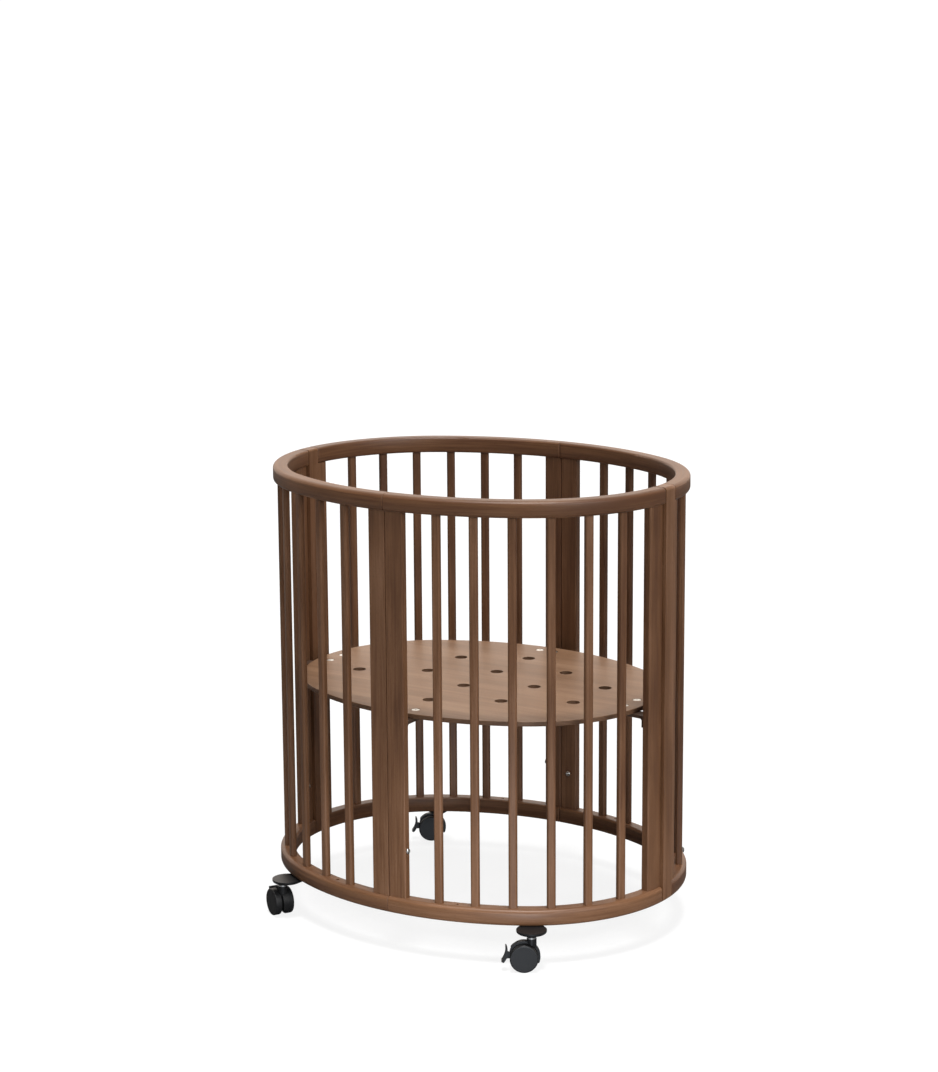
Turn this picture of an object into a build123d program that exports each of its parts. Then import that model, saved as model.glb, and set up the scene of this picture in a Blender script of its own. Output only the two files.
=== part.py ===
"""Small oval crib: four quarter panels of slats, a perforated mattress board and four braked casters.

Units are millimetres. The origin is on the floor below the middle of the oval. X runs along the oval's
length, Y across it and Z up. The panels meet at the middles of the long sides (X = 0) and at the two ends.
"Near" panels are on the -Y side and "far" panels on the +Y side; "left" is -X and "right" is +X.
"""

import math
import os

from build123d import *

# ---- Driving dimensions -------------------------------------------------------------------------------
OVAL_LENGTH = 820.0        # outside of the rails, along X
OVAL_WIDTH = 658.0         # outside of the rails, along Y
END_RADIUS = 302.0         # outside radius of the oval's two ends
CRIB_HEIGHT = 859.5        # floor to the top of the top rail
RAIL_BOTTOM = 73.5         # floor to the underside of the bottom rail
RAIL_THICKNESS = 28.0
RAIL_HEIGHT = 31.0
RAIL_OUTER_ROUND = 7.0
RAIL_INNER_ROUND = 4.0
RAIL_END_CHAMFER = 0.8     # at the joint on the long side
RAIL_END_ROUND = 3.0       # beside an end stile
SEAM_GAP = 0.6             # between the two panels that meet on a long side
SEAM_ROUND = 3.0           # on the rails' and posts' inner corners at that seam
STILE_SEAM = 2.0           # between an end stile and the far panel's rails
BUTT_GAP = 1.0             # between an end stile and the near panel's rails

SLAT_COUNT = 6
SLAT_WIDTH = 16.0
SLAT_THICKNESS = 12.0
SLAT_ROUND = 4.0
FIRST_SLAT = 99.5          # along the rail's middle line, from the joint on the long side
SLAT_PITCH = 69.4

POST_WIDTH = 36.0
END_POST_WIDTH = 38.0
POST_THICKNESS = 16.0
POST_ROUND = 2.5
POST_SEAM_ROUND = 0.7      # on the posts' outer corners at that seam
STILE_NEAR_EDGE = -18.0    # the end stile's Y limits
STILE_FAR_EDGE = 13.0
STILE_POST_EDGE = 39.0     # the far edge of the part between the rails

TENON_LENGTH = 12.0
TENON_CLEARANCE = 0.1
SLAT_TENON = (10.0, 7.0)   # along the rail, across the rail
POST_TENON = (24.0, 8.0)

BOARD_TOP = 445.5
BOARD_THICKNESS = 9.0
BOARD_EDGE_ROUND = 1.5
BOARD_INSET = 48.0         # from the outside of the rails
BOARD_HOLE_DIAMETER = 25.0
BOARD_HOLE_STEP_X = 120.0
BOARD_HOLE_STEP_Y = 60.3
BOARD_BOLT_INSET = 77.0    # from the outside of the rails to the bolts near the board's edge
DRILLED_HOLE_DIAMETER = 6.0
DRILLED_HOLE_DEPTH = 14.0

BRACKET_WIDTH = 26.0
BRACKET_TIP = 13.0         # past the board bolt
BRACKET_LEG = 6.0
BRACKET_DROP = 22.0
BRACKET_BACK = 6.0
BRACKET_FILLET = 2.5
BRACKET_BOLT_DROP = 14.5
BRACKET_GAP = 0.4          # behind the flat back, where the upright's face is curved
CONTACT_GAP = 0.1          # between the bracket and the board
BOARD_BOLT_END = 2.0       # stands out below the bracket

BOLT_DIAMETER = 6.0
BOLT_CLEARANCE = 0.1       # radial
BOLT_HEAD_DIAMETER = 10.5
BOLT_HEAD_HEIGHT = 3.2
BOLT_HEAD_ROUND = 1.9
BOLT_KEY_SIZE = 4.0
BOLT_KEY_DEPTH = 2.1
BOLT_GRIP = 8.0            # how far a bolt goes past what it clamps
FLUSH_HEAD_DIAMETER = 16.0
FLUSH_HEAD_HEIGHT = 3.0
FLUSH_HEAD_CHAMFER = 0.7
FLUSH_HEAD_DEPTH = 0.3     # below the board's face
FLUSH_HEAD_CLEARANCE = 0.4
SPARE_BOLT_HEIGHT = 178.5  # the board's lower setting
JOINT_BOLT_HEIGHT = 194.5
FAR_END_FIXING = 21.0      # a far panel's end fixing, along Y

CASTER_ALONG = 277.7       # a stem's distance from the oval's middle, along X
CASTER_ACROSS = 275.7      # and along Y
CASTER_HEADINGS = {        # the direction in which each caster trails, in degrees from +X
    "near_left": 149.0,
    "near_right": 212.0,
    "far_left": 212.0,
    "far_right": 125.0,
}
WHEEL_RADIUS = 26.0
WHEEL_WIDTH = 14.0
WHEEL_GAP = 10.0
TREAD_ROUND = 2.5
GROOVE_INSET = 4.5         # from the tread to the groove in a wheel's face
GROOVE_WIDTH = 1.0
GROOVE_DEPTH = 0.6
CASTER_TRAIL = 14.0
HOOD_RADIUS = 30.0
HOOD_WEB = 9.0
HOOD_TOP = 60.0
HOOD_BOTTOM = 14.0
HOOD_BACK = 24.0           # behind the axle
HOUSING_DIAMETER = 18.0
HOUSING_BOTTOM = 30.0
WHEEL_ROOM = 1.0           # radial, between the wheels and the housing
AXLE_DIAMETER = 6.0
AXLE_CAP = 1.5
STEM_DIAMETER = 8.0
STEM_DEPTH = 18.0          # in the hood
COLLAR_DIAMETER = 16.8
COLLAR_GAP = 0.3           # between the stem's collar and the hood
RUNNING_CLEARANCE = 0.05   # radial, for shafts that turn in holes
PLATE_DIAMETER = 56.0
PLATE_THICKNESS = 6.0
PLATE_ROUND = 3.6
PLATE_SETBACK = 9.0        # from the stem in to the plate's middle
TONGUE_DIAMETER = 34.0
TONGUE_REACH = 26.0        # from the plate's middle
BOSS_BOTTOM = 63.2
LEVER_THICKNESS = 4.0
LEVER_WIDTH = 18.0
LEVER_TIP_THICKNESS = 4.0
LEVER_PIN_DIAMETER = 4.0
LEVER_PIN_RECESS = 0.2
LEVER_PIN_BACK = 19.0      # behind the axle
LEVER_PIN_RISE = 1.0       # above the axle
LEVER_SLOT_CLEARANCE = 0.4
LEVER_SLOT_DEPTH = 9.0     # in front of the pin
BLADE_TOP = (13.0, 19.0)   # places on the blade's front: behind the pin, and above it
BLADE_MIDDLE = (11.0, 2.0)
BLADE_LOW = (18.0, -11.0)
ARM_CORNERS = [(-5.0, -4.0), (-5.0, 4.0), (13.0, 9.0), (14.5, -5.0)]   # measured the same way

# ---- Derived dimensions -------------------------------------------------------------------------------
HALF_LENGTH = OVAL_LENGTH / 2
HALF_WIDTH = OVAL_WIDTH / 2
END_CENTRE = HALF_LENGTH - END_RADIUS                       # on the X axis
END_TO_SIDE = HALF_WIDTH - END_RADIUS
SIDE_CENTRE = (END_CENTRE**2 - END_TO_SIDE**2) / (2 * END_TO_SIDE)   # distance past the X axis
SIDE_RADIUS = HALF_WIDTH + SIDE_CENTRE
JUNCTION = math.atan2(SIDE_CENTRE, END_CENTRE)              # angle from +X where the two arcs meet
RAIL_MIDDLE = RAIL_THICKNESS / 2
POST_INSET = RAIL_MIDDLE - POST_THICKNESS / 2
TOP_RAIL_BOTTOM = CRIB_HEIGHT - RAIL_HEIGHT
BOTTOM_RAIL_TOP = RAIL_BOTTOM + RAIL_HEIGHT
BAR_LENGTH = TOP_RAIL_BOTTOM - BOTTOM_RAIL_TOP
BOARD_BOTTOM = BOARD_TOP - BOARD_THICKNESS
WHEEL_OFFSET = (WHEEL_GAP + WHEEL_WIDTH) / 2
PLATE_BOTTOM = RAIL_BOTTOM - PLATE_THICKNESS
STEM_TOP = RAIL_BOTTOM - PLATE_THICKNESS / 2
THROUGH = 60.0              # a cutter longer than a caster is wide

VERTICAL = (0, 0, 1)


# ---- The oval's middle line, in the far right quarter --------------------------------------------------
def side_angle(distance, inset):
    """Angle from +X, about the side arc's centre, of a point this far along the curve from X = 0."""
    return math.pi / 2 - distance / (SIDE_RADIUS - inset)


def oval_point(distance, inset):
    """Place on the far right quarter of the oval, and the direction that faces out of it, in degrees."""
    side_radius = SIDE_RADIUS - inset
    side_length = side_radius * (math.pi / 2 - JUNCTION)
    if distance <= side_length:
        angle = side_angle(distance, inset)
        x = side_radius * math.cos(angle)
        return (x, side_radius * math.sin(angle) - SIDE_CENTRE, math.degrees(angle))
    end_radius = END_RADIUS - inset
    angle = JUNCTION - (distance - side_length) / end_radius
    return (END_CENTRE + end_radius * math.cos(angle), end_radius * math.sin(angle), math.degrees(angle))


def end_angle(across, inset=RAIL_MIDDLE):
    """Angle about the end arc's centre of the point at this Y."""
    return math.asin(across / (END_RADIUS - inset))


# ---- Shapes that follow the oval ----------------------------------------------------------------------
def bar_profile(width, height, outer_round, inner_round):
    """Rounded rectangle centred on the origin, with its outer side towards +X."""
    profile = Rectangle(width, height)
    outer = [corner for corner in profile.vertices() if corner.X > 0]
    inner = [corner for corner in profile.vertices() if corner.X < 0]
    if outer_round > 0:
        profile = fillet(outer, outer_round)
        inner = [corner for corner in profile.vertices() if corner.X < 0.001 - width / 2]
    if inner_round > 0:
        profile = fillet(inner, inner_round)
    return profile


def arc_bar(centre, radius, start, end, profile, middle_height):
    """Sweep a profile round a vertical axis. The radius is to the profile's middle; angles in radians."""
    plane = Plane(
        origin=(centre[0], centre[1], middle_height),
        x_dir=(math.cos(start), math.sin(start), 0),
        z_dir=(math.sin(start), -math.cos(start), 0),
    )
    section = plane * Pos(radius, 0) * profile
    axis = Axis((centre[0], centre[1], 0), VERTICAL)
    return revolve(section, axis, math.degrees(end - start))


def rail_bar(first_angle, middle_height):
    """Far right quarter of a rail, from an angle at the end of the oval to the joint at X = 0."""
    profile = bar_profile(RAIL_THICKNESS, RAIL_HEIGHT, RAIL_OUTER_ROUND, RAIL_INNER_ROUND)
    last_angle = side_angle(SEAM_GAP / 2, RAIL_MIDDLE)
    end_centre = (END_CENTRE, 0)
    end_radius = END_RADIUS - RAIL_MIDDLE
    end_part = arc_bar(end_centre, end_radius, first_angle, JUNCTION, profile, middle_height)
    side_centre = (0, -SIDE_CENTRE)
    side_radius = SIDE_RADIUS - RAIL_MIDDLE
    side_part = arc_bar(side_centre, side_radius, JUNCTION, last_angle, profile, middle_height)
    bar = end_part + side_part
    bar = chamfer(bar.faces().sort_by(Axis.X)[0].edges(), RAIL_END_CHAMFER)
    bar = fillet(bar.faces().sort_by(Axis.Y)[0].edges(), RAIL_END_ROUND)
    return bar - Pos(0, 0, middle_height) * seam_corner()


def seam_corner():
    """Cutter that rounds the inner corner of a rail's end at the long side's joint."""
    overlap = 1.0
    inner_face = HALF_WIDTH - RAIL_THICKNESS
    size = SEAM_ROUND + overlap
    height = 2 * RAIL_HEIGHT
    centre = Pos(SEAM_GAP / 2 + SEAM_ROUND, inner_face + SEAM_ROUND, 0)
    block = centre * Pos(-size / 2, -size / 2, 0) * Box(size, size, height)
    return block - centre * Cylinder(SEAM_ROUND, height)


def end_bar(near_edge, far_edge, inset, thickness, bottom, top, outer_round=0.0, inner_round=0.0):
    """Upright at the right end of the oval, between two places in Y, curved like the rails."""
    profile = bar_profile(thickness, top - bottom, outer_round, inner_round)
    return arc_bar(
        (END_CENTRE, 0),
        END_RADIUS - inset - thickness / 2,
        end_angle(near_edge),
        end_angle(far_edge),
        profile,
        (top + bottom) / 2,
    )


def oval_outline(inset):
    """Closed outline of the whole oval, four arcs, this far inside the rails' outer face."""
    end_radius = END_RADIUS - inset
    side_radius = SIDE_RADIUS - inset
    corner_x = END_CENTRE + end_radius * math.cos(JUNCTION)
    corner_y = end_radius * math.sin(JUNCTION)
    tip_x = END_CENTRE + end_radius
    tip_y = side_radius - SIDE_CENTRE
    return [
        ThreePointArc((corner_x, -corner_y), (tip_x, 0), (corner_x, corner_y)),
        ThreePointArc((corner_x, corner_y), (0, tip_y), (-corner_x, corner_y)),
        ThreePointArc((-corner_x, corner_y), (-tip_x, 0), (-corner_x, -corner_y)),
        ThreePointArc((-corner_x, -corner_y), (0, -tip_y), (corner_x, -corner_y)),
    ]


# ---- Joinery ------------------------------------------------------------------------------------------
def slat_places():
    """Middle-line places of one quarter's slats, for the far right quarter."""
    return [oval_point(FIRST_SLAT + SLAT_PITCH * number, RAIL_MIDDLE) for number in range(SLAT_COUNT)]


def side_post_place():
    """Place of the post beside the joint at X = 0."""
    return oval_point(SEAM_GAP / 2 + POST_WIDTH / 2, RAIL_MIDDLE)


def end_place(near_edge, far_edge):
    """Place in the far right quarter's frame of an upright between two values of Y at the right end."""
    angle = (end_angle(near_edge) + end_angle(far_edge)) / 2
    radius = END_RADIUS - RAIL_MIDDLE
    return (END_CENTRE + radius * math.cos(angle), radius * math.sin(angle), math.degrees(angle))


def upright_box(place, along, across, bottom, top):
    """Box at a place on the oval; "along" follows the rail and "across" points out of the oval."""
    x, y, facing = place
    return Pos(x, y, (bottom + top) / 2) * Rot(0, 0, facing - 90) * Box(along, across, top - bottom)


def tenons(place, size):
    """Stub tenons above and below an upright, long enough to start inside it."""
    overlap = 1.0
    low = upright_box(place, *size, BOTTOM_RAIL_TOP - TENON_LENGTH, BOTTOM_RAIL_TOP + overlap)
    high = upright_box(place, *size, TOP_RAIL_BOTTOM - overlap, TOP_RAIL_BOTTOM + TENON_LENGTH)
    return low, high


def mortises(places_and_sizes):
    """Cutters for every tenon of a panel, in both rails."""
    cutters = []
    for place, (along, across) in places_and_sizes:
        size = (along + 2 * TENON_CLEARANCE, across + 2 * TENON_CLEARANCE)
        depth = TENON_LENGTH + 2 * TENON_CLEARANCE
        cutters.append(upright_box(place, *size, BOTTOM_RAIL_TOP - depth, BOTTOM_RAIL_TOP + depth))
        cutters.append(upright_box(place, *size, TOP_RAIL_BOTTOM - depth, TOP_RAIL_BOTTOM + depth))
    return cutters


# ---- Panels: made on the right side of the oval, then mirrored -----------------------------------------
def slat(place):
    """Slender upright with rounded edges and a stub tenon at each end."""
    x, y, facing = place
    section = RectangleRounded(SLAT_WIDTH, SLAT_THICKNESS, SLAT_ROUND)
    body = Pos(x, y, BOTTOM_RAIL_TOP) * Rot(0, 0, facing - 90) * extrude(section, BAR_LENGTH)
    low, high = tenons(place, SLAT_TENON)
    return body + low + high


def side_post():
    """Flat post beside the joint on the long side."""
    x, y, facing = side_post_place()
    section = Rectangle(POST_WIDTH - SEAM_GAP / 2, POST_THICKNESS)
    section = fillet([corner for corner in section.vertices() if corner.X > 0], POST_ROUND)
    section = fillet(section.vertices().group_by(Axis.X)[0].sort_by(Axis.Y)[0], SEAM_ROUND)
    section = fillet(section.vertices().group_by(Axis.Y)[-1].sort_by(Axis.X)[0], POST_SEAM_ROUND)
    body = Pos(x, y, BOTTOM_RAIL_TOP) * Rot(0, 0, facing - 90) * extrude(section, BAR_LENGTH)
    low, high = tenons(side_post_place(), POST_TENON)
    return body + low + high


def near_end_post_edges():
    """Y limits of the near panel's post, which stands against the end stile."""
    edge = -STILE_NEAR_EDGE + BUTT_GAP
    return edge, edge + END_POST_WIDTH


def near_end_post():
    """Flat post of a near panel at the oval's end, drawn on the far side and mirrored like its panel."""
    first, last = near_end_post_edges()
    body = end_bar(first, last, POST_INSET, POST_THICKNESS, BOTTOM_RAIL_TOP, TOP_RAIL_BOTTOM)
    body = fillet(body.edges().filter_by(Axis.Z), POST_ROUND)
    low, high = tenons(end_place(first, last), POST_TENON)
    return body + low + high


def end_stile():
    """Full-height stile between the panels, with the far panel's post notched under its rails."""
    column = end_bar(
        STILE_NEAR_EDGE,
        STILE_FAR_EDGE,
        0,
        RAIL_THICKNESS,
        RAIL_BOTTOM,
        CRIB_HEIGHT,
        RAIL_OUTER_ROUND,
        RAIL_INNER_ROUND,
    )
    overlap = 2.0
    post = end_bar(
        STILE_FAR_EDGE - overlap,
        STILE_POST_EDGE,
        POST_INSET,
        RAIL_THICKNESS - POST_INSET,
        BOTTOM_RAIL_TOP,
        TOP_RAIL_BOTTOM,
    )
    far_edges = [edge for edge in post.edges().filter_by(Axis.Z) if edge.center().Y > STILE_FAR_EDGE]
    post = fillet(far_edges, POST_ROUND)
    return column + post


def drilled_hole():
    """Cutter for the small hole in the bottom rail's top, between the first two slats."""
    x, y, _ = oval_point(FIRST_SLAT + SLAT_PITCH / 2, RAIL_MIDDLE)
    hole = Cylinder(DRILLED_HOLE_DIAMETER / 2, 2 * DRILLED_HOLE_DEPTH)
    return Pos(x, y, BOTTOM_RAIL_TOP) * hole


def rails(first_angle, uprights):
    """Bottom and top rail of a right-hand panel, with mortises for its uprights."""
    cutters = mortises(uprights)
    bottom = rail_bar(first_angle, RAIL_BOTTOM + RAIL_HEIGHT / 2) - cutters - drilled_hole()
    top = rail_bar(first_angle, CRIB_HEIGHT - RAIL_HEIGHT / 2) - cutters
    return bottom, top


def common_uprights():
    """Tenons that every panel has: its slats and the post on the long side."""
    return [(place, SLAT_TENON) for place in slat_places()] + [(side_post_place(), POST_TENON)]


def far_panel():
    """Pieces of the far right panel, by name."""
    bottom, top = rails(end_angle(STILE_FAR_EDGE) + STILE_SEAM / END_RADIUS, common_uprights())
    pieces = {"bottom_rail": bottom, "top_rail": top, "side_post": side_post(), "end_stile": end_stile()}
    for number, place in enumerate(slat_places(), start=1):
        pieces[f"slat_{number}"] = slat(place)
    return pieces


def near_panel():
    """Pieces of the near right panel, by name, drawn on the far side of the X axis."""
    first, last = near_end_post_edges()
    uprights = common_uprights() + [(end_place(first, last), POST_TENON)]
    bottom, top = rails(end_angle(-STILE_NEAR_EDGE) + BUTT_GAP / END_RADIUS, uprights)
    pieces = {"bottom_rail": bottom, "top_rail": top, "side_post": side_post(), "end_post": near_end_post()}
    for number, place in enumerate(slat_places(), start=1):
        pieces[f"slat_{number}"] = slat(place)
    return pieces


def flip(shape, left=False, near=False):
    """Mirror a shape drawn in the far right quarter into another quarter."""
    if near:
        shape = mirror(shape, about=Plane.XZ)
    if left:
        shape = mirror(shape, about=Plane.YZ)
    return shape


# ---- Mattress board and its fixings -------------------------------------------------------------------
def board_hole_places():
    """Fourteen holes in three staggered rows either side of the middle."""
    places = []
    for column in range(-2, 3):
        steps = {0: (-3, -1, 1, 3), 1: (-2, 0, 2), 2: (-1, 1)}[abs(column)]
        places += [(column * BOARD_HOLE_STEP_X, step * BOARD_HOLE_STEP_Y) for step in steps]
    return places


def inward(place, distance):
    """Move a place on the oval inwards, square to the oval."""
    x, y, facing = place
    angle = math.radians(facing)
    return (x - distance * math.cos(angle), y - distance * math.sin(angle), facing)


def fixing_faces():
    """Inner faces of the uprights that carry the board: place, direction out of the oval, and inset."""
    post_inset = POST_INSET + POST_THICKNESS
    first, last = near_end_post_edges()
    side_x, side_y, side_facing = inward(side_post_place(), POST_THICKNESS / 2)
    near_x, near_y, near_facing = inward(end_place(first, last), POST_THICKNESS / 2)
    far_x, far_y, far_facing = inward(end_place(FAR_END_FIXING, FAR_END_FIXING), RAIL_THICKNESS - RAIL_MIDDLE)
    right = [
        (side_x, side_y, side_facing, post_inset),
        (side_x, -side_y, -side_facing, post_inset),
        (near_x, -near_y, -near_facing, post_inset),
        (far_x, far_y, far_facing, RAIL_THICKNESS),
    ]
    left = [(-x, y, 180 - facing, inset) for x, y, facing, inset in right]
    return right + left


def board_bolt_places():
    """Where the board is bolted down, one place for each fixing."""
    return [inward((x, y, facing), BOARD_BOLT_INSET - inset) for x, y, facing, inset in fixing_faces()]


def mattress_board():
    """Oval panel with rounded edges, ventilation holes and a counterbored hole for each bolt."""
    board = Pos(0, 0, BOARD_BOTTOM) * extrude(make_face(oval_outline(BOARD_INSET)), BOARD_THICKNESS)
    edges = board.edges().filter_by(lambda edge: edge.bounding_box().size.Z < 0.01)
    board = fillet(edges, BOARD_EDGE_ROUND)
    hole = Cylinder(BOARD_HOLE_DIAMETER / 2, 3 * BOARD_THICKNESS)
    bolt_hole = Cylinder(BOLT_DIAMETER / 2 + BOLT_CLEARANCE, 3 * BOARD_THICKNESS)
    sink_depth = FLUSH_HEAD_HEIGHT + FLUSH_HEAD_DEPTH
    bolt_hole += Cylinder(FLUSH_HEAD_DIAMETER / 2 + FLUSH_HEAD_CLEARANCE, 2 * sink_depth)
    board -= [Pos(x, y, BOARD_TOP) * hole for x, y in board_hole_places()]
    return board - [Pos(x, y, BOARD_TOP) * bolt_hole for x, y, _ in board_bolt_places()]


def at_fixing(shape, face, height):
    """Put a shape drawn with +X out of the oval, its origin on the upright's inner face, at a fixing."""
    x, y, facing, _ = face
    return Pos(x, y, height) * Rot(0, 0, facing) * shape


def board_bracket(reach):
    """Angle bracket: back plate against the upright and leg under the board, for a bolt this far in."""
    leg_tip = -reach - BRACKET_TIP
    back = -BRACKET_GAP - BRACKET_BACK
    outline = Polyline(
        (leg_tip, 0),
        (-BRACKET_GAP, 0),
        (-BRACKET_GAP, -BRACKET_DROP),
        (back, -BRACKET_DROP),
        (back, -BRACKET_LEG - BRACKET_FILLET),
        (back - BRACKET_FILLET, -BRACKET_LEG),
        (leg_tip, -BRACKET_LEG),
        close=True,
    )
    solid = extrude(Plane.XZ * make_face(outline), BRACKET_WIDTH / 2, both=True)
    hole = Cylinder(BOLT_DIAMETER / 2 + BOLT_CLEARANCE, 4 * BRACKET_LEG)
    post_hole = Rot(0, 90, 0) * Cylinder(BOLT_DIAMETER / 2 + BOLT_CLEARANCE, 4 * BRACKET_BACK)
    return solid - Pos(-reach, 0, 0) * hole - Pos(0, 0, -BRACKET_BOLT_DROP) * post_hole


def socket_bolt(length):
    """Button-head bolt with a hexagon socket, its head above Z = 0 and its shank below."""
    head = Pos(0, 0, BOLT_HEAD_HEIGHT / 2) * Cylinder(BOLT_HEAD_DIAMETER / 2, BOLT_HEAD_HEIGHT)
    head = fillet(head.edges().sort_by(Axis.Z)[-1], BOLT_HEAD_ROUND)
    key = extrude(RegularPolygon(BOLT_KEY_SIZE / 2, 6, major_radius=False), BOLT_HEAD_HEIGHT)
    head -= Pos(0, 0, BOLT_HEAD_HEIGHT - BOLT_KEY_DEPTH) * key
    return head + Pos(0, 0, -length / 2) * Cylinder(BOLT_DIAMETER / 2, length)


def flush_bolt(length):
    """Furniture bolt with a wide flat head and a hexagon socket; its head's top is at Z = 0."""
    head = Pos(0, 0, -FLUSH_HEAD_HEIGHT / 2) * Cylinder(FLUSH_HEAD_DIAMETER / 2, FLUSH_HEAD_HEIGHT)
    head = chamfer(head.edges().sort_by(Axis.Z)[-1], FLUSH_HEAD_CHAMFER)
    key = extrude(RegularPolygon(BOLT_KEY_SIZE / 2, 6, major_radius=False), FLUSH_HEAD_HEIGHT)
    head -= Pos(0, 0, -BOLT_KEY_DEPTH) * key
    shank = Cylinder(BOLT_DIAMETER / 2, length - FLUSH_HEAD_HEIGHT)
    return head + Pos(0, 0, -(length + FLUSH_HEAD_HEIGHT) / 2) * shank


def board_bolts():
    """Bolts that hold the board down on its brackets, sunk in its face."""
    bolt = flush_bolt(BOARD_THICKNESS + BRACKET_LEG + BOARD_BOLT_END)
    return [Pos(x, y, BOARD_TOP - FLUSH_HEAD_DEPTH) * bolt for x, y, _ in board_bolt_places()]


def board_brackets():
    brackets = []
    for face in fixing_faces():
        bracket = board_bracket(BOARD_BOLT_INSET - face[3])
        brackets.append(at_fixing(bracket, face, BOARD_BOTTOM - CONTACT_GAP))
    return brackets


def bracket_bolts():
    """Bolts through the brackets' back plates into the uprights."""
    bolt = Rot(0, -90, 0) * socket_bolt(BRACKET_GAP + BRACKET_BACK + BOLT_GRIP)
    bolt = Pos(-BRACKET_GAP - BRACKET_BACK, 0, 0) * bolt
    height = BOARD_BOTTOM - CONTACT_GAP - BRACKET_BOLT_DROP
    return [at_fixing(bolt, face, height) for face in fixing_faces()]


def spare_bolts():
    """Bolts parked in the uprights at the board's lower setting."""
    bolt = Rot(0, -90, 0) * socket_bolt(BOLT_GRIP)
    return [at_fixing(bolt, face, SPARE_BOLT_HEIGHT) for face in fixing_faces()]


def joint_bolts():
    """Bolts through the two posts that meet on each long side, one from each direction."""
    _, y, _ = side_post_place()
    bolt = Rot(0, 90, 0) * socket_bolt(2 * POST_WIDTH - BOLT_GRIP)
    bolt = Pos(POST_WIDTH + SEAM_GAP, -y, JOINT_BOLT_HEIGHT) * bolt
    return [bolt, Rot(0, 0, 180) * bolt]


# ---- Casters: drawn about the stem's axis, trailing towards +X, standing on Z = 0 -----------------------
def caster_plate():
    """Leaf-shaped plate with rounded edges, and the boss that takes the stem."""
    disc = Pos(-PLATE_SETBACK, 0) * Edge.make_circle(PLATE_DIAMETER / 2)
    tongue = Pos(-PLATE_SETBACK - TONGUE_REACH, 0) * Edge.make_circle(TONGUE_DIAMETER / 2)
    plate = Pos(0, 0, PLATE_BOTTOM) * extrude(make_hull([disc, tongue]), PLATE_THICKNESS)
    plate = fillet(plate.edges().group_by(Axis.Z)[0], PLATE_ROUND)
    overlap = 1.0
    boss_height = PLATE_BOTTOM - BOSS_BOTTOM + overlap
    boss = Pos(0, 0, BOSS_BOTTOM + boss_height / 2) * Cylinder(HOUSING_DIAMETER / 2, boss_height)
    bore_height = 2 * (STEM_TOP - BOSS_BOTTOM)
    return plate + boss - Pos(0, 0, BOSS_BOTTOM) * Cylinder(STEM_DIAMETER / 2, bore_height)


def caster_stem():
    """Steel stem: pressed into the boss above its collar, and turning in the hood below it."""
    collar_height = BOSS_BOTTOM - HOOD_TOP - COLLAR_GAP
    collar = Pos(0, 0, BOSS_BOTTOM - collar_height / 2) * Cylinder(COLLAR_DIAMETER / 2, collar_height)
    pin_bottom = HOOD_TOP - STEM_DEPTH
    pin = Pos(0, 0, (pin_bottom + STEM_TOP) / 2) * Cylinder(STEM_DIAMETER / 2, STEM_TOP - pin_bottom)
    return collar + pin


def lever_pivot():
    """Lever pin's place: distance from the stem and height."""
    return CASTER_TRAIL + LEVER_PIN_BACK, WHEEL_RADIUS + LEVER_PIN_RISE


def hood_web():
    """Upright web between the wheels, cut off flat below and behind."""
    web = Rot(90, 0, 0) * Cylinder(HOOD_RADIUS, HOOD_WEB)
    low_cut = Pos(0, 0, -WHEEL_RADIUS) * Box(THROUGH, THROUGH, 2 * HOOD_BOTTOM)
    back_cut = Pos(HOOD_BACK + HOOD_RADIUS, 0, 0) * Box(2 * HOOD_RADIUS, THROUGH, THROUGH)
    return Pos(CASTER_TRAIL, 0, WHEEL_RADIUS) * (web - low_cut - back_cut)


def stem_housing():
    """Housing round the stem, cleared for the wheels at both sides of the web."""
    height = HOOD_TOP - HOUSING_BOTTOM
    housing = Pos(0, 0, HOUSING_BOTTOM + height / 2) * Cylinder(HOUSING_DIAMETER / 2, height)
    wheel_room = Rot(90, 0, 0) * Cylinder(WHEEL_RADIUS + WHEEL_ROOM, THROUGH)
    web_keep = Pos(0, 0, HOOD_TOP / 2) * Box(THROUGH, HOOD_WEB, 2 * HOOD_TOP)
    return (housing - Pos(CASTER_TRAIL, 0, WHEEL_RADIUS) * wheel_room) + (housing & web_keep)


def caster_hood():
    """Web and stem housing in one, with the lever's slot behind and holes for pin, axle and stem."""
    pivot_x, pivot_z = lever_pivot()
    slot_width = LEVER_THICKNESS + 2 * LEVER_SLOT_CLEARANCE
    slot = Box(2 * HOOD_RADIUS, slot_width, 4 * HOOD_RADIUS)
    slot = Pos(pivot_x - LEVER_SLOT_DEPTH + HOOD_RADIUS, 0, pivot_z) * slot
    pin_hole = Rot(90, 0, 0) * Cylinder(LEVER_PIN_DIAMETER / 2 + RUNNING_CLEARANCE, THROUGH)
    pin_hole = Pos(pivot_x, 0, pivot_z) * pin_hole
    axle_hole = Rot(90, 0, 0) * Cylinder(AXLE_DIAMETER / 2 + RUNNING_CLEARANCE, THROUGH)
    axle_hole = Pos(CASTER_TRAIL, 0, WHEEL_RADIUS) * axle_hole
    stem_hole = Cylinder(STEM_DIAMETER / 2 + RUNNING_CLEARANCE, 2 * (STEM_DEPTH + COLLAR_GAP))
    stem_hole = Pos(0, 0, HOOD_TOP) * stem_hole
    return hood_web() + stem_housing() - slot - pin_hole - axle_hole - stem_hole


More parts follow.
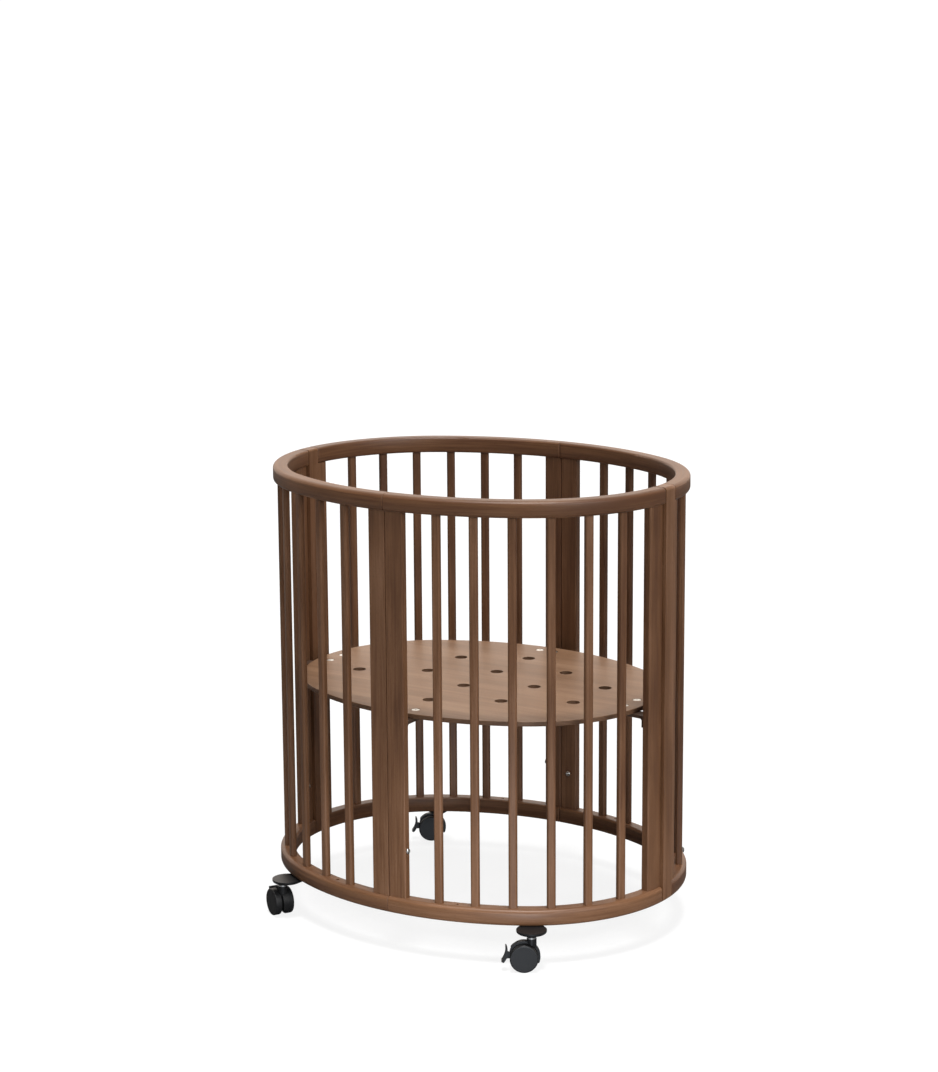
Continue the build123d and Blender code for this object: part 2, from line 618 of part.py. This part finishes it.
def caster_wheel():
    """One wheel about the Y axis: rounded tread, shallow dished face and a hub."""
    wheel = Cylinder(WHEEL_RADIUS, WHEEL_WIDTH)
    wheel = fillet(wheel.edges().filter_by(GeomType.CIRCLE), TREAD_ROUND)
    groove_radius = WHEEL_RADIUS - GROOVE_INSET
    groove = Cylinder(groove_radius, 2 * GROOVE_DEPTH)
    groove -= Cylinder(groove_radius - GROOVE_WIDTH, 2 * GROOVE_DEPTH)
    wheel -= Pos(0, 0, WHEEL_WIDTH / 2) * groove
    return wheel - Cylinder(AXLE_DIAMETER / 2, 2 * WHEEL_WIDTH)


def caster_wheels():
    """Two wheels and the axle that they are pressed on."""
    outer_face_up = Rot(-90, 0, 0) * caster_wheel()
    far = Pos(0, WHEEL_OFFSET, 0) * outer_face_up
    near = mirror(far, about=Plane.XZ)
    axle_length = WHEEL_GAP + 2 * WHEEL_WIDTH - 2 * AXLE_CAP
    axle = Rot(90, 0, 0) * Cylinder(AXLE_DIAMETER / 2, axle_length)
    cap = Rot(90, 0, 0) * Cylinder(AXLE_DIAMETER / 2, AXLE_CAP)
    cap_place = (axle_length + AXLE_CAP) / 2
    far += Pos(0, cap_place, 0) * cap
    near += Pos(0, -cap_place, 0) * cap
    return [Pos(CASTER_TRAIL, 0, WHEEL_RADIUS) * piece for piece in (near, far, axle)]


def lever_blade():
    """Curved blade behind the wheels, thinner at the top, drawn about the pin."""
    thickness = LEVER_TIP_THICKNESS
    low_back = (BLADE_LOW[0] + thickness, BLADE_LOW[1] + thickness / 2)
    middle_back = (BLADE_MIDDLE[0] + 1.3 * thickness, BLADE_MIDDLE[1])
    top_back = (BLADE_TOP[0] + thickness / 2, BLADE_TOP[1])
    front = ThreePointArc(BLADE_TOP, BLADE_MIDDLE, BLADE_LOW)
    back = ThreePointArc(low_back, middle_back, top_back)
    low_edge = Line(BLADE_LOW, low_back)
    top_edge = Line(top_back, BLADE_TOP)
    outline = make_face([front, low_edge, back, top_edge])
    return extrude(Plane.XZ * outline, LEVER_WIDTH / 2, both=True)


def brake_lever():
    """Rocking pedal: its blade, an arm in the hood's slot, and its pin."""
    arm_outline = make_face(Polyline(*ARM_CORNERS, close=True))
    arm = extrude(Plane.XZ * arm_outline, LEVER_THICKNESS / 2, both=True)
    pin_length = HOOD_WEB - 2 * LEVER_PIN_RECESS
    pin = Rot(90, 0, 0) * Cylinder(LEVER_PIN_DIAMETER / 2, pin_length)
    pivot_x, pivot_z = lever_pivot()
    return Pos(pivot_x, 0, pivot_z) * (lever_blade() + arm + pin)


def caster_stations():
    """Each caster's name and stem position."""
    stations = []
    for side, y_sign in (("near", -1), ("far", 1)):
        for end, x_sign in (("left", -1), ("right", 1)):
            stations.append((f"{side}_{end}", x_sign * CASTER_ALONG, y_sign * CASTER_ACROSS))
    return stations


def outward(x, y):
    """Direction out of the oval at a caster, in degrees."""
    centre_y = -SIDE_CENTRE if y > 0 else SIDE_CENTRE
    angle = math.atan2(y - centre_y, x)
    if abs(math.sin(angle)) < math.sin(JUNCTION):
        angle = math.atan2(y, x - math.copysign(END_CENTRE, x))
    return math.degrees(angle)


# ---- The whole crib -----------------------------------------------------------------------------------
def panels():
    """Every piece of the four panels, by node name."""
    pieces = {}
    for side, drawn in (("near", near_panel()), ("far", far_panel())):
        for end in ("left", "right"):
            for name, shape in drawn.items():
                label = name.replace("slat_", "")
                node = f"slat_{side}_{end}_{label}" if name.startswith("slat_") else f"{name}_{side}_{end}"
                pieces[node] = flip(shape, left=end == "left", near=side == "near")
    return pieces


def casters():
    """Plates and stems as groups; hood, wheels and lever of each caster as nodes."""
    pieces = {"caster_plates": [], "caster_stems": []}
    for name, x, y in caster_stations():
        fixed = Pos(x, y, 0) * Rot(0, 0, outward(x, y))
        pieces["caster_plates"].append(fixed * caster_plate())
        pieces["caster_stems"].append(fixed * caster_stem())
        turned = Pos(x, y, 0) * Rot(0, 0, CASTER_HEADINGS[name])
        pieces[f"caster_hood_{name}"] = turned * caster_hood()
        pieces[f"caster_wheels_{name}"] = [turned * piece for piece in caster_wheels()]
        pieces[f"brake_lever_{name}"] = turned * brake_lever()
    return pieces


def post_bolt_holes(pieces):
    """Drill the posts and stiles for the bolts that stand in them."""
    bolts = bracket_bolts() + spare_bolts() + joint_bolts()
    holes = [bolt.solids()[0] for bolt in bolts]
    for node in pieces:
        if node.startswith(("side_post", "end_post", "end_stile")):
            pieces[node] = pieces[node] - holes
    return pieces


def crib():
    pieces = post_bolt_holes(panels())
    pieces["mattress_board"] = mattress_board()
    pieces["board_brackets"] = board_brackets()
    pieces["board_bolts"] = board_bolts()
    pieces["bracket_bolts"] = bracket_bolts()
    pieces["spare_bolts"] = spare_bolts()
    pieces["joint_bolts"] = joint_bolts()
    pieces.update(casters())
    return pieces


def write(pieces):
    """One STEP file per node."""
    os.makedirs("parts", exist_ok=True)
    for node, shape in pieces.items():
        solids = shape if isinstance(shape, list) else [shape]
        found = [solid for piece in solids for solid in piece.solids()]
        whole = found[0] if len(found) == 1 else Compound(children=found)
        export_step(whole, f"parts/{node}.step")


write(crib())
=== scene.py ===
"""Studio scene of the small oval crib: stained beech panels, plywood board, black casters.

Everything is in metres, in the frame's axes: X along the oval, Y across it, Z up from the floor. The crib
that is seen is the frame's own meshes. This script gives them their materials and builds the studio.
"""

import math

import bpy
from mathutils import Matrix, Vector


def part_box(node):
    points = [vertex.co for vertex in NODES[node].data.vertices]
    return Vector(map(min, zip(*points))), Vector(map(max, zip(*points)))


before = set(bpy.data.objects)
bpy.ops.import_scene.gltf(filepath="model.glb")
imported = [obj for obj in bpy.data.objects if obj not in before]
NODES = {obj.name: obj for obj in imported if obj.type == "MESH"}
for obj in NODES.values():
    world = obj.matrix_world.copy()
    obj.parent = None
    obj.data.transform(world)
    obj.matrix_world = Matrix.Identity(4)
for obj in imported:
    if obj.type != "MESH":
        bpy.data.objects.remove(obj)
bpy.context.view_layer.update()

# ---- The oval's curve, as the rails follow it ----------------------------------------------------------
HALF_LENGTH = 0.410
HALF_WIDTH = 0.329
END_RADIUS = 0.302
RAIL_MIDDLE = 0.014
END_CENTRE = HALF_LENGTH - END_RADIUS
END_TO_SIDE = HALF_WIDTH - END_RADIUS
SIDE_CENTRE = (END_CENTRE**2 - END_TO_SIDE**2) / (2 * END_TO_SIDE)
SIDE_RADIUS = HALF_WIDTH + SIDE_CENTRE
JUNCTION = math.atan2(END_CENTRE, SIDE_CENTRE)   # from the Y axis, where the side arc meets the end arc

# ---- Camera --------------------------------------------------------------------------------------------
CAMERA_TURN = math.radians(32.154)      # from looking along +Y, towards -X
CAMERA_PITCH = math.radians(11.665)     # looking down
CAMERA_ROLL = math.radians(-0.367)
CAMERA_DISTANCE = 5.0222
CAMERA_AIM = (-0.02023, 0.72473)        # sideways and up, from the origin
CAMERA_REACH = 500.0
SENSOR = 36.0
LENS = 88.82

# ---- Values: wood --------------------------------------------------------------------------------------
# Colours are linear. A pattern's scale is how often it repeats in a metre, with the grain's direction last.
STAIN_DARK = (0.082, 0.034, 0.0150)
STAIN_MID = (0.134, 0.061, 0.0270)
STAIN_LIGHT = (0.190, 0.095, 0.0500)
BOARD_DARK = (0.126, 0.066, 0.034)
BOARD_MID = (0.171, 0.094, 0.052)
BOARD_LIGHT = (0.223, 0.133, 0.078)
PLY_DARK = (0.085, 0.042, 0.024)
PLY_LIGHT = (0.150, 0.084, 0.048)
PLIES = 7
COLOUR_STOPS = (0.34, 0.50, 0.68)       # of the figure, for the dark, middle and light colours
BAND_SCALE, BAND_SHARE = (55, 55, 2.2), 0.48
STREAK_SCALE, STREAK_SHARE = (420, 420, 9), 0.44
FIBRE_SCALE, FIBRE_SHARE = (1900, 1900, 60), 0.08
BLOTCH_SCALE, BLOTCH_SHARE = (14, 14, 5), 0.35
FLECK_SCALE, FLECK_SHARE = (900, 900, 210), 0.40
FLECK_OFFSET = (3.1, 1.7, 0.4)
STREAK_HEIGHT, FIBRE_HEIGHT, FLECK_DEPTH = 0.6, 0.4, 0.25
BOARD_SHIFT = (0.31, 0.07, 0.53)
# Lighter wood edges: partly wear, partly a painted highlight along the edges.
WOOD_EDGE_RADIUS, WOOD_WEAR_AND_HIGHLIGHT = 0.0012, 0.30
WOOD_WEAR_AND_HIGHLIGHT_GAIN = 1.25
WOOD_ROUGHNESS, WOOD_ROUGHNESS_SPREAD = 0.37, 0.16
WOOD_SPECULAR = 0.30
PLY_SPECULAR = 0.22
COAT_WEIGHT = 0.04
COAT_ROUGHNESS = 0.30
RAIL_CROWN = 9.0                        # how fast a rail's faces bulge, per metre

# ---- Values: tones, which lighten or darken a whole piece, at random, and as painted shading on some ---
TONE_SPREAD = 0.06
# Painted shade: the far panels are darkened as if shaded by the board and the near side.
FAR_PANEL_PAINTED_SHADE = -0.07
# Painted light and shade: these near rails are lightened or darkened for how the light falls on them.
RAIL_PAINTED_SHADING = {                          # for rails that differ from the rest
    "bottom_rail_near_left": -0.05,
    "bottom_rail_near_right": 0.03,
    "top_rail_near_left": -0.05,
    "top_rail_near_right": -0.08,
}

# ---- Values: plastic and metal -------------------------------------------------------------------------
CASTER_BLACK = (0.0060, 0.0060, 0.0064)
WHEEL_BLACK = (0.0068, 0.0068, 0.0072)
BRACKET_BROWN = (0.050, 0.028, 0.018)
BOLT_ZINC = (0.78, 0.76, 0.72)
STEM_ZINC = (0.85, 0.85, 0.84)
PLASTIC_SPECULAR = 0.24
PLASTIC_WEAR_RADIUS, PLASTIC_WEAR = 0.0007, 0.55
PLASTIC_CLOUD = 0.55
PLASTIC_SCUFFS = 0.18
PLASTIC_ROUGHNESS_SPREAD = 0.14
ZINC_DULLER = 0.72
ZINC_ROUGHNESS_SPREAD = 0.18

# ---- Values: studio ------------------------------------------------------------------------------------
FLOOR_HALF = 60.0
FLOOR_SEEN = ((0.11, 0.11, 0.11), (0.13, 0.13, 0.13))
FLOOR_GLOW = 0.85
FLOOR_ROUGHNESS = 0.8
FLOOR_SPECULAR = 0.1
FLOOR_PAINT = (0.45, 0.45, 0.45)
FLOOR_MIRRORED = (0.10, 0.10, 0.10)
WALLS_DIM, WALLS_BRIGHT = (0.12, 0.12, 0.12), (0.95, 0.95, 0.95)
MIRRORED_DIM, MIRRORED_BRIGHT = (0.170, 0.148, 0.128), (1.66, 1.50, 1.35)
BACKDROP = (1.05, 1.05, 1.05)
SOFTBOX_COLOUR = (0.92, 1.0, 1.10)


# ---- Node tree helper ----------------------------------------------------------------------------------
class Tree:
    """Short ways to add and join shader nodes."""

    def __init__(self, tree):
        self.nodes = tree.nodes
        self.links = tree.links

    def add(self, kind, inputs=None, **settings):
        node = self.nodes.new(kind)
        for name, value in settings.items():
            setattr(node, name, value)
        for name, value in (inputs or {}).items():
            self.feed(node.inputs[name], value)
        return node

    def feed(self, socket, value):
        if isinstance(value, bpy.types.NodeSocket):
            self.links.new(value, socket)
        elif isinstance(value, tuple) and len(value) == 3 and len(socket.default_value) == 4:
            socket.default_value = (*value, 1.0)
        else:
            socket.default_value = value

    def math(self, operation, first, second=0.0, clamp=False):
        node = self.add("ShaderNodeMath", {0: first, 1: second}, operation=operation, use_clamp=clamp)
        return node.outputs[0]

    def times(self, first, second):
        return self.math("MULTIPLY", first, second)

    def total(self, first, *others):
        for term in others:
            first = self.math("ADD", first, term)
        return first

    def hypotenuse(self, first, second):
        return self.math("SQRT", self.total(self.times(first, first), self.times(second, second)))

    def mix_colour(self, factor, first, second):
        node = self.add("ShaderNodeMix", data_type="RGBA", blend_type="MIX", clamp_factor=True)
        self.feed(node.inputs[0], factor)
        self.feed(node.inputs[6], first)
        self.feed(node.inputs[7], second)
        return node.outputs[2]

    def mix_value(self, factor, first, second):
        node = self.add("ShaderNodeMix", data_type="FLOAT", clamp_factor=True)
        self.feed(node.inputs[0], factor)
        self.feed(node.inputs[2], first)
        self.feed(node.inputs[3], second)
        return node.outputs[0]

    def ramp(self, factor, stops):
        """Blend between (place, colour) stops; a plain number is a grey."""
        node = self.add("ShaderNodeValToRGB", {"Fac": factor})
        points = node.color_ramp.elements
        while len(points) < len(stops):
            points.new(0.5)
        for point, (place, colour) in zip(points, stops):
            point.position = place
            point.color = (*colour, 1.0) if isinstance(colour, tuple) else (colour, colour, colour, 1.0)
        return node.outputs["Color"]

    def step(self, factor, low, high):
        """0 below the low end, 1 above the high end."""
        return self.ramp(factor, ((low, 0.0), (high, 1.0)))

    def place(self):
        """A point's place on its piece, which is also its place in the frame while the crib is at rest."""
        return self.add("ShaderNodeTexCoord").outputs["Object"]

    def normal(self):
        return self.add("ShaderNodeNewGeometry").outputs["Normal"]

    def split(self, vector):
        return self.add("ShaderNodeSeparateXYZ", {0: vector}).outputs

    def joined(self, x, y, z):
        return self.add("ShaderNodeCombineXYZ", {0: x, 1: y, 2: z}).outputs[0]

    def dot(self, first, second):
        node = self.add("ShaderNodeVectorMath", {0: first, 1: second}, operation="DOT_PRODUCT")
        return node.outputs["Value"]

    def noise(self, vector, scale, detail, roughness, distortion=0.0, offset=(0.0, 0.0, 0.0)):
        """Noise of a given scale along X, Y and Z."""
        mapping = self.add("ShaderNodeMapping", {"Vector": vector, "Scale": scale, "Location": offset})
        inputs = {"Vector": mapping.outputs["Vector"], "Scale": 1.0, "Detail": detail}
        inputs.update({"Roughness": roughness, "Distortion": distortion})
        return self.add("ShaderNodeTexNoise", inputs).outputs["Fac"]

    def bump(self, strength, distance, height):
        return self.add("ShaderNodeBump", {"Strength": strength, "Distance": distance, "Height": height})


def new_material(name):
    """An empty material with a Principled shader; returns it, its tree helper and the shader."""
    material = bpy.data.materials.new(name)
    material.use_nodes = True
    tree = Tree(material.node_tree)
    tree.nodes.clear()
    shader = tree.add("ShaderNodeBsdfPrincipled")
    output = tree.add("ShaderNodeOutputMaterial")
    tree.links.new(shader.outputs[0], output.inputs[0])
    return material, tree, shader


def edge_mask(tree, radius):
    """Near 1 on corners, where a bevelled normal differs from the true one."""
    bevelled = tree.add("ShaderNodeBevel", {"Radius": radius}, samples=6).outputs[0]
    gain = 3.0
    turned = tree.math("SUBTRACT", 1.0, tree.dot(bevelled, tree.normal()))
    return tree.math("MULTIPLY", turned, gain, clamp=True)


def brightened(colour, gain, lift=0.0):
    return tuple(channel * gain + lift for channel in colour)


# ---- Wood ----------------------------------------------------------------------------------------------
def upright_grain(tree):
    """Coordinates whose Z runs along the grain of an upright piece."""
    return tree.place()


def board_grain(tree):
    """Coordinates whose Z runs along the board's face grain, which is along X."""
    x, y, z = tree.split(tree.place())
    return tree.joined(y, z, x)


def rail_grain(tree):
    """Coordinates whose Z runs along a curved rail, X across it and Y up it."""
    x, y, z = tree.split(tree.place())
    x = tree.math("ABSOLUTE", x)
    y = tree.math("ABSOLUTE", y)
    side_y = tree.total(y, SIDE_CENTRE)
    side_angle = tree.math("ARCTAN2", x, side_y)
    side_across = tree.math("SUBTRACT", tree.hypotenuse(x, side_y), SIDE_RADIUS)
    side_along = tree.times(side_angle, SIDE_RADIUS - RAIL_MIDDLE)
    end_x = tree.math("SUBTRACT", x, END_CENTRE)
    end_angle = tree.math("SUBTRACT", tree.math("ARCTAN2", end_x, y), JUNCTION)
    end_across = tree.math("SUBTRACT", tree.hypotenuse(end_x, y), END_RADIUS)
    end_along = tree.times(end_angle, END_RADIUS - RAIL_MIDDLE)
    end_along = tree.total(end_along, JUNCTION * (SIDE_RADIUS - RAIL_MIDDLE))
    past_junction = tree.math("GREATER_THAN", side_angle, JUNCTION)
    across = tree.mix_value(past_junction, side_across, end_across)
    along = tree.mix_value(past_junction, side_along, end_along)
    return tree.joined(across, z, along)


def crowned(tree, middle):
    """Normals of a rail whose faces bulge slightly about this height."""
    above = tree.math("SUBTRACT", tree.split(tree.place())[2], middle)
    bulge = tree.times(tree.times(above, above), -RAIL_CROWN)
    return tree.bump(strength=1.0, distance=1.0, height=bulge).outputs[0]


def wood(name, grain, colours, shift, tone, crown=None):
    """Stained wood; returns its material, tree, shader and colour.

    The grain function gives the grain's direction. Shift and tone make each piece its own; the tone also
    holds painted shading on the far panels and some near rails. Crown is the middle height of a rail.
    """
    material, tree, shader = new_material(name)
    along = tree.add("ShaderNodeVectorMath", {0: grain(tree), 1: shift}, operation="ADD").outputs["Vector"]
    bands = tree.noise(along, BAND_SCALE, detail=5.0, roughness=0.6, distortion=0.35)
    streaks = tree.noise(along, STREAK_SCALE, detail=3.0, roughness=0.6)
    fibres = tree.noise(along, FIBRE_SCALE, detail=2.0, roughness=0.5)
    blotch = tree.noise(along, BLOTCH_SCALE, detail=2.0, roughness=0.5)
    flecks = tree.noise(along, FLECK_SCALE, detail=1.0, roughness=0.4, offset=FLECK_OFFSET)
    figure = tree.total(
        tree.times(bands, BAND_SHARE),
        tree.times(streaks, STREAK_SHARE),
        tree.times(fibres, FIBRE_SHARE),
        tree.times(tree.math("SUBTRACT", blotch, 0.5), BLOTCH_SHARE),
        tone,
    )
    colour = tree.ramp(figure, tuple(zip(COLOUR_STOPS, colours)))
    dark, light = colours[0], colours[-1]
    fleck_mask = tree.step(flecks, low=0.60, high=0.70)
    colour = tree.mix_colour(tree.times(fleck_mask, FLECK_SHARE), colour, dark)
    # Lighter edges: partly wear, partly a painted edge highlight.
    worn = brightened(light, WOOD_WEAR_AND_HIGHLIGHT_GAIN)
    colour = tree.mix_colour(tree.times(edge_mask(tree, WOOD_EDGE_RADIUS), WOOD_WEAR_AND_HIGHLIGHT), colour, worn)
    tree.feed(shader.inputs["Base Color"], colour)
    roughness = tree.total(WOOD_ROUGHNESS, tree.times(streaks, WOOD_ROUGHNESS_SPREAD))
    tree.feed(shader.inputs["Roughness"], roughness)
    height = tree.total(tree.times(streaks, STREAK_HEIGHT), tree.times(fibres, FIBRE_HEIGHT))
    height = tree.math("SUBTRACT", height, tree.times(fleck_mask, FLECK_DEPTH))
    bump = tree.bump(strength=0.22, distance=0.0004, height=height)
    if crown:
        tree.feed(bump.inputs["Normal"], crowned(tree, crown))
    tree.feed(shader.inputs["Normal"], bump.outputs[0])
    shader.inputs["Specular IOR Level"].default_value = WOOD_SPECULAR
    shader.inputs["Coat Weight"].default_value = COAT_WEIGHT
    shader.inputs["Coat Roughness"].default_value = COAT_ROUGHNESS
    return material, tree, shader, colour


def plywood(name):
    """The board: a stained face veneer, with the plies showing on the cut edges."""
    colours = (BOARD_DARK, BOARD_MID, BOARD_LIGHT)
    material, tree, shader, face = wood(name, board_grain, colours, BOARD_SHIFT, 0.0)
    low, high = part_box("mattress_board")
    above = tree.math("SUBTRACT", tree.split(tree.place())[2], low.z)
    layer = tree.math("PINGPONG", tree.times(above, PLIES / (high.z - low.z)), 1.0)
    ply = tree.mix_colour(tree.step(layer, low=0.40, high=0.60), PLY_DARK, PLY_LIGHT)
    flat = tree.step(tree.math("ABSOLUTE", tree.split(tree.normal())[2]), low=0.55, high=0.80)
    tree.feed(shader.inputs["Base Color"], tree.mix_colour(flat, ply, face))
    shader.inputs["Specular IOR Level"].default_value = PLY_SPECULAR
    return material


# ---- Plastic and metal ---------------------------------------------------------------------------------
def moulded(name, colour, roughness):
    """Moulded plastic with a fine texture, faint scuffs and lighter edges."""
    material, tree, shader = new_material(name)
    place = tree.place()
    fine = tree.noise(place, (900, 900, 900), detail=3.0, roughness=0.6)
    cloud = tree.noise(place, (45, 45, 45), detail=3.0, roughness=0.5)
    scuffs = tree.noise(place, (120, 120, 900), detail=4.0, roughness=0.7)
    scuffed = tree.times(tree.step(scuffs, low=0.58, high=0.72), PLASTIC_SCUFFS)
    worn_edges = tree.times(edge_mask(tree, PLASTIC_WEAR_RADIUS), PLASTIC_WEAR)
    lighter = brightened(colour, gain=1.8, lift=0.002)
    worn = brightened(colour, gain=2.6, lift=0.008)
    shade = tree.mix_colour(tree.times(cloud, PLASTIC_CLOUD), colour, lighter)
    shade = tree.mix_colour(scuffed, shade, worn)
    shade = tree.mix_colour(worn_edges, shade, worn)
    tree.feed(shader.inputs["Base Color"], shade)
    tree.feed(shader.inputs["Roughness"], tree.total(roughness, tree.times(cloud, PLASTIC_ROUGHNESS_SPREAD)))
    tree.feed(shader.inputs["Normal"], tree.bump(strength=0.25, distance=0.0002, height=fine).outputs[0])
    shader.inputs["Specular IOR Level"].default_value = PLASTIC_SPECULAR
    return material


def zinc(name, colour, roughness):
    """Plated steel with turned lines and a slight bloom."""
    material, tree, shader = new_material(name)
    place = tree.place()
    lines = tree.noise(place, (300, 300, 5200), detail=2.0, roughness=0.5)
    bloom = tree.noise(place, (260, 260, 260), detail=3.0, roughness=0.5)
    shade = tree.mix_colour(bloom, brightened(colour, gain=ZINC_DULLER), colour)
    tree.feed(shader.inputs["Base Color"], shade)
    tree.feed(shader.inputs["Roughness"], tree.total(roughness, tree.times(bloom, ZINC_ROUGHNESS_SPREAD)))
    tree.feed(shader.inputs["Normal"], tree.bump(strength=0.15, distance=0.0001, height=lines).outputs[0])
    shader.inputs["Metallic"].default_value = 1.0
    return material


# ---- Dressing the frame --------------------------------------------------------------------------------
def dress(node, material):
    """Give a CAD node its material."""
    slots = NODES[node].data.materials
    slots.clear()
    slots.append(material)


def piece_shift(number):
    """A different stretch of grain for each piece."""
    golden = 0.618034
    ranges = (7.0, 5.0, 9.0)
    return tuple(number * golden**power % 1.0 * span for power, span in enumerate(ranges, start=1))


def piece_tone_and_shading(number, node):
    """A slightly lighter or darker board for each piece, at random, plus painted shading: far panels are
    darker, apart from their stiles, and the listed near rails are lighter or darker as the light falls on
    them.
    """
    # Painted light and shade on the listed near rails.
    if node in RAIL_PAINTED_SHADING:
        return RAIL_PAINTED_SHADING[node]
    step = 0.754877
    # Painted shade on the far panels, apart from their stiles.
    panel = FAR_PANEL_PAINTED_SHADE if "_far_" in node and not node.startswith("end_stile") else 0.0
    return ((number * step) % 1.0 - 0.5) * TONE_SPREAD + panel


def dress_wood():
    colours = (STAIN_DARK, STAIN_MID, STAIN_LIGHT)
    for number, node in enumerate(sorted(NODES), start=1):
        shift, tone = piece_shift(number), piece_tone_and_shading(number, node)
        if node.startswith(("slat", "side_post", "end_post", "end_stile")):
            dress(node, wood(f"beech_{node}", upright_grain, colours, shift, tone)[0])
        elif "rail" in node:
            low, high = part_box(node)
            middle = (low.z + high.z) / 2
            dress(node, wood(f"beech_{node}", rail_grain, colours, shift, tone, middle)[0])
    dress("mattress_board", plywood("plywood_board"))


def dress_fittings():
    black = moulded("caster_black", CASTER_BLACK, roughness=0.34)
    wheel = moulded("wheel_black", WHEEL_BLACK, roughness=0.40)
    brown = moulded("bracket_brown", BRACKET_BROWN, roughness=0.45)
    bolt = zinc("bolt_zinc", BOLT_ZINC, roughness=0.22)
    stem = zinc("stem_zinc", STEM_ZINC, roughness=0.20)
    for node in NODES:
        if node.startswith(("caster_hood", "brake_lever", "caster_plates")):
            dress(node, black)
        elif node.startswith("caster_wheels"):
            dress(node, wheel)
        elif node.endswith("bolts"):
            dress(node, bolt)
    dress("board_brackets", brown)
    dress("caster_stems", stem)


# ---- Studio --------------------------------------------------------------------------------------------
def place_in_scene(obj):
    bpy.context.scene.collection.objects.link(obj)


def floor():
    """Pale studio floor.

    It lights the crib as a mid grey, is dark where the crib's surfaces mirror it, and is near white in the
    picture itself.
    """
    far = FLOOR_HALF
    mesh = bpy.data.meshes.new("studio_floor")
    mesh.from_pydata([(-far, -far, 0), (far, -far, 0), (far, far, 0), (-far, far, 0)], [], [(0, 1, 2, 3)])
    obj = bpy.data.objects.new("studio_floor", mesh)
    place_in_scene(obj)
    material, tree, shader = new_material("studio_floor")
    cloud = tree.noise(tree.place(), (1.5, 1.5, 1.5), detail=2.0, roughness=0.5)
    tree.feed(shader.inputs["Base Color"], tree.mix_colour(cloud, *FLOOR_SEEN))
    shader.inputs["Roughness"].default_value = FLOOR_ROUGHNESS
    shader.inputs["Specular IOR Level"].default_value = FLOOR_SPECULAR
    shader.inputs["Emission Color"].default_value = (1.0, 1.0, 1.0, 1.0)
    shader.inputs["Emission Strength"].default_value = FLOOR_GLOW
    rays = tree.add("ShaderNodeLightPath").outputs
    shade = tree.mix_colour(rays["Is Glossy Ray"], FLOOR_PAINT, FLOOR_MIRRORED)
    paint = tree.add("ShaderNodeBsdfDiffuse", {"Color": shade})
    look = tree.add(
        "ShaderNodeMixShader", {0: rays["Is Camera Ray"], 1: paint.outputs[0], 2: shader.outputs[0]}
    )
    tree.links.new(look.outputs[0], tree.nodes["Material Output"].inputs[0])
    mesh.materials.append(material)


def distant_light(name, direction, strength, softness):
    """Light from far away in a direction, its source this many degrees wide."""
    light = bpy.data.lights.new(name, "SUN")
    light.energy = strength
    light.angle = math.radians(softness)
    obj = bpy.data.objects.new(name, light)
    obj.rotation_euler = (-Vector(direction)).to_track_quat("-Z", "Y").to_euler()
    place_in_scene(obj)


def softbox(name, place, aim, size, power, spread):
    """A square area light that faces a point, its beam this many degrees wide."""
    light = bpy.data.lights.new(name, "AREA")
    light.shape = "SQUARE"
    light.size = size
    light.energy = power
    light.spread = math.radians(spread)
    light.color = SOFTBOX_COLOUR
    obj = bpy.data.objects.new(name, light)
    obj.location = place
    obj.rotation_euler = (Vector(aim) - Vector(place)).to_track_quat("-Z", "Y").to_euler()
    place_in_scene(obj)


def surroundings():
    """Studio walls, dim in front of the crib and bright behind it.

    They are brighter and warmer where the crib's surfaces mirror them, and white in the picture itself.
    """
    world = bpy.data.worlds.new("studio")
    bpy.context.scene.world = world
    world.use_nodes = True
    tree = Tree(world.node_tree)
    tree.nodes.clear()
    direction = tree.add("ShaderNodeTexCoord").outputs["Generated"]
    away = (-math.sin(CAMERA_TURN), math.cos(CAMERA_TURN), 0.0)
    behind = tree.step(tree.dot(direction, away), low=0.35, high=0.80)
    rays = tree.add("ShaderNodeLightPath").outputs
    lit = tree.mix_colour(behind, WALLS_DIM, WALLS_BRIGHT)
    mirrored = tree.mix_colour(behind, MIRRORED_DIM, MIRRORED_BRIGHT)
    colour = tree.mix_colour(rays["Is Glossy Ray"], lit, mirrored)
    colour = tree.mix_colour(rays["Is Camera Ray"], colour, BACKDROP)
    background = tree.add("ShaderNodeBackground", {"Color": colour, "Strength": 1.0})
    output = tree.add("ShaderNodeOutputWorld")
    tree.links.new(background.outputs[0], output.inputs[0])


def camera():
    turn = Matrix.Rotation(CAMERA_TURN, 3, "Z")
    sideways, up = CAMERA_AIM
    pitch_cos, pitch_sin = math.cos(CAMERA_PITCH), math.sin(CAMERA_PITCH)
    place = turn @ Vector((sideways, -CAMERA_DISTANCE * pitch_cos, up + CAMERA_DISTANCE * pitch_sin))
    tilt = Matrix.Rotation(math.pi / 2 - CAMERA_PITCH, 3, "X")
    look = turn @ tilt @ Matrix.Rotation(CAMERA_ROLL, 3, "Z")
    data = bpy.data.cameras.new("camera")
    data.sensor_width = SENSOR
    data.lens = LENS
    data.clip_end = CAMERA_REACH
    obj = bpy.data.objects.new("camera", data)
    obj.matrix_world = Matrix.Translation(place) @ look.to_4x4()
    place_in_scene(obj)
    bpy.context.scene.camera = obj


dress_wood()
dress_fittings()
floor()
surroundings()
distant_light("overhead_light", direction=(0.05, -0.08, 1.0), strength=4.2, softness=14.0)
distant_light("front_right_light", direction=(0.80, -0.38, 0.45), strength=2.1, softness=40.0)
softbox("low_front_kicker", place=(1.33, -2.12, 0.10), aim=(0, 0, 0.02), size=0.2, power=0.72, spread=26.0)
camera()
bpy.context.scene.view_settings.view_transform = "Standard"
